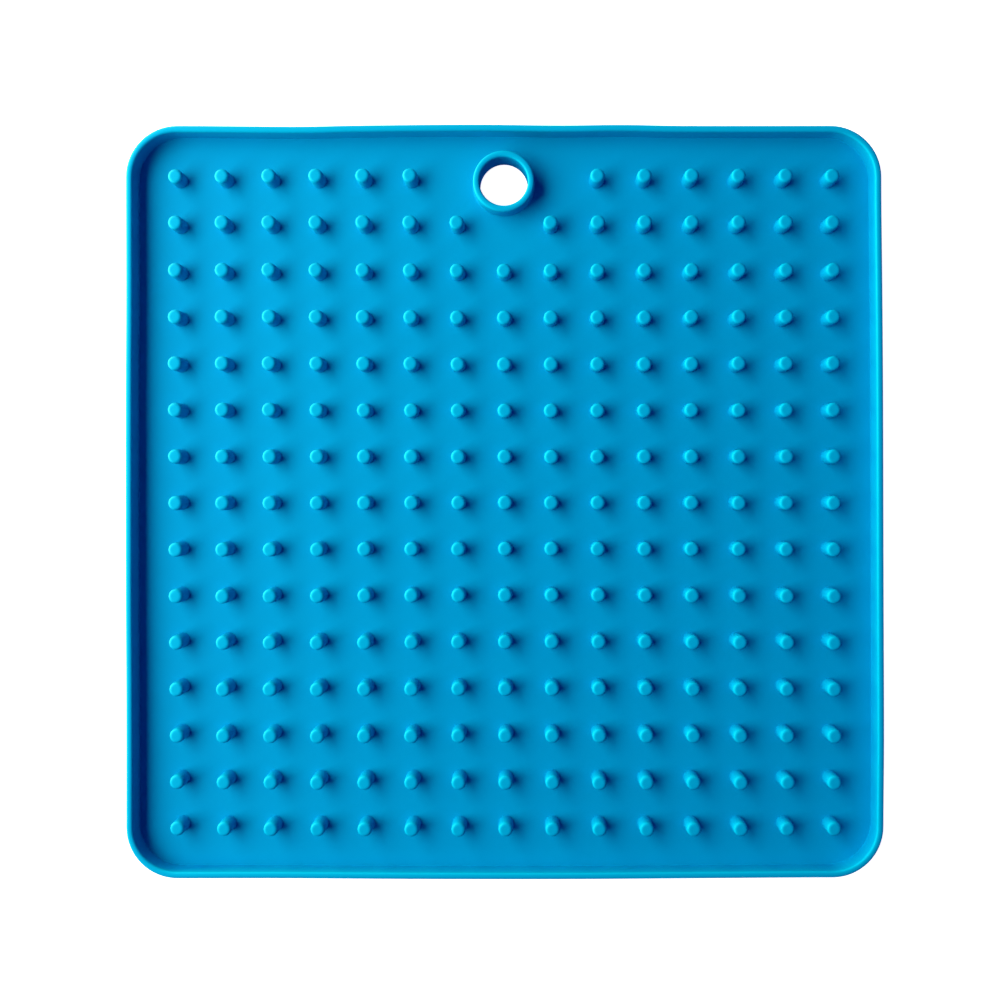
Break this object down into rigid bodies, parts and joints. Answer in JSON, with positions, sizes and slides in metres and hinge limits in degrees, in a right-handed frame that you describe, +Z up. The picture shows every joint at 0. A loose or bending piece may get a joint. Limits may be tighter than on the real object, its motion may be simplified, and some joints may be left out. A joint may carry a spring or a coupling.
{
  "type": "silicone lick mat with pegs",
  "caption": "Square silicone lick mat moulded in one piece: a shallow rimmed tray with short pegs that hold soft food, and a raised eye to hang it by.",
  "frame": {"origin": "middle of the underside, on the surface that the mat lies on", "axes": "+Z up out of the tray, +Y towards the hanging eye, +X to the right seen from above"},
  "size_m": [0.2, 0.199, 0.008],
  "materials": {
    "silicone": "satin silicone rubber, sky blue"
  },
  "bodies": {
    "root": {"mat": "silicone"}
  },
  "joints": []
}
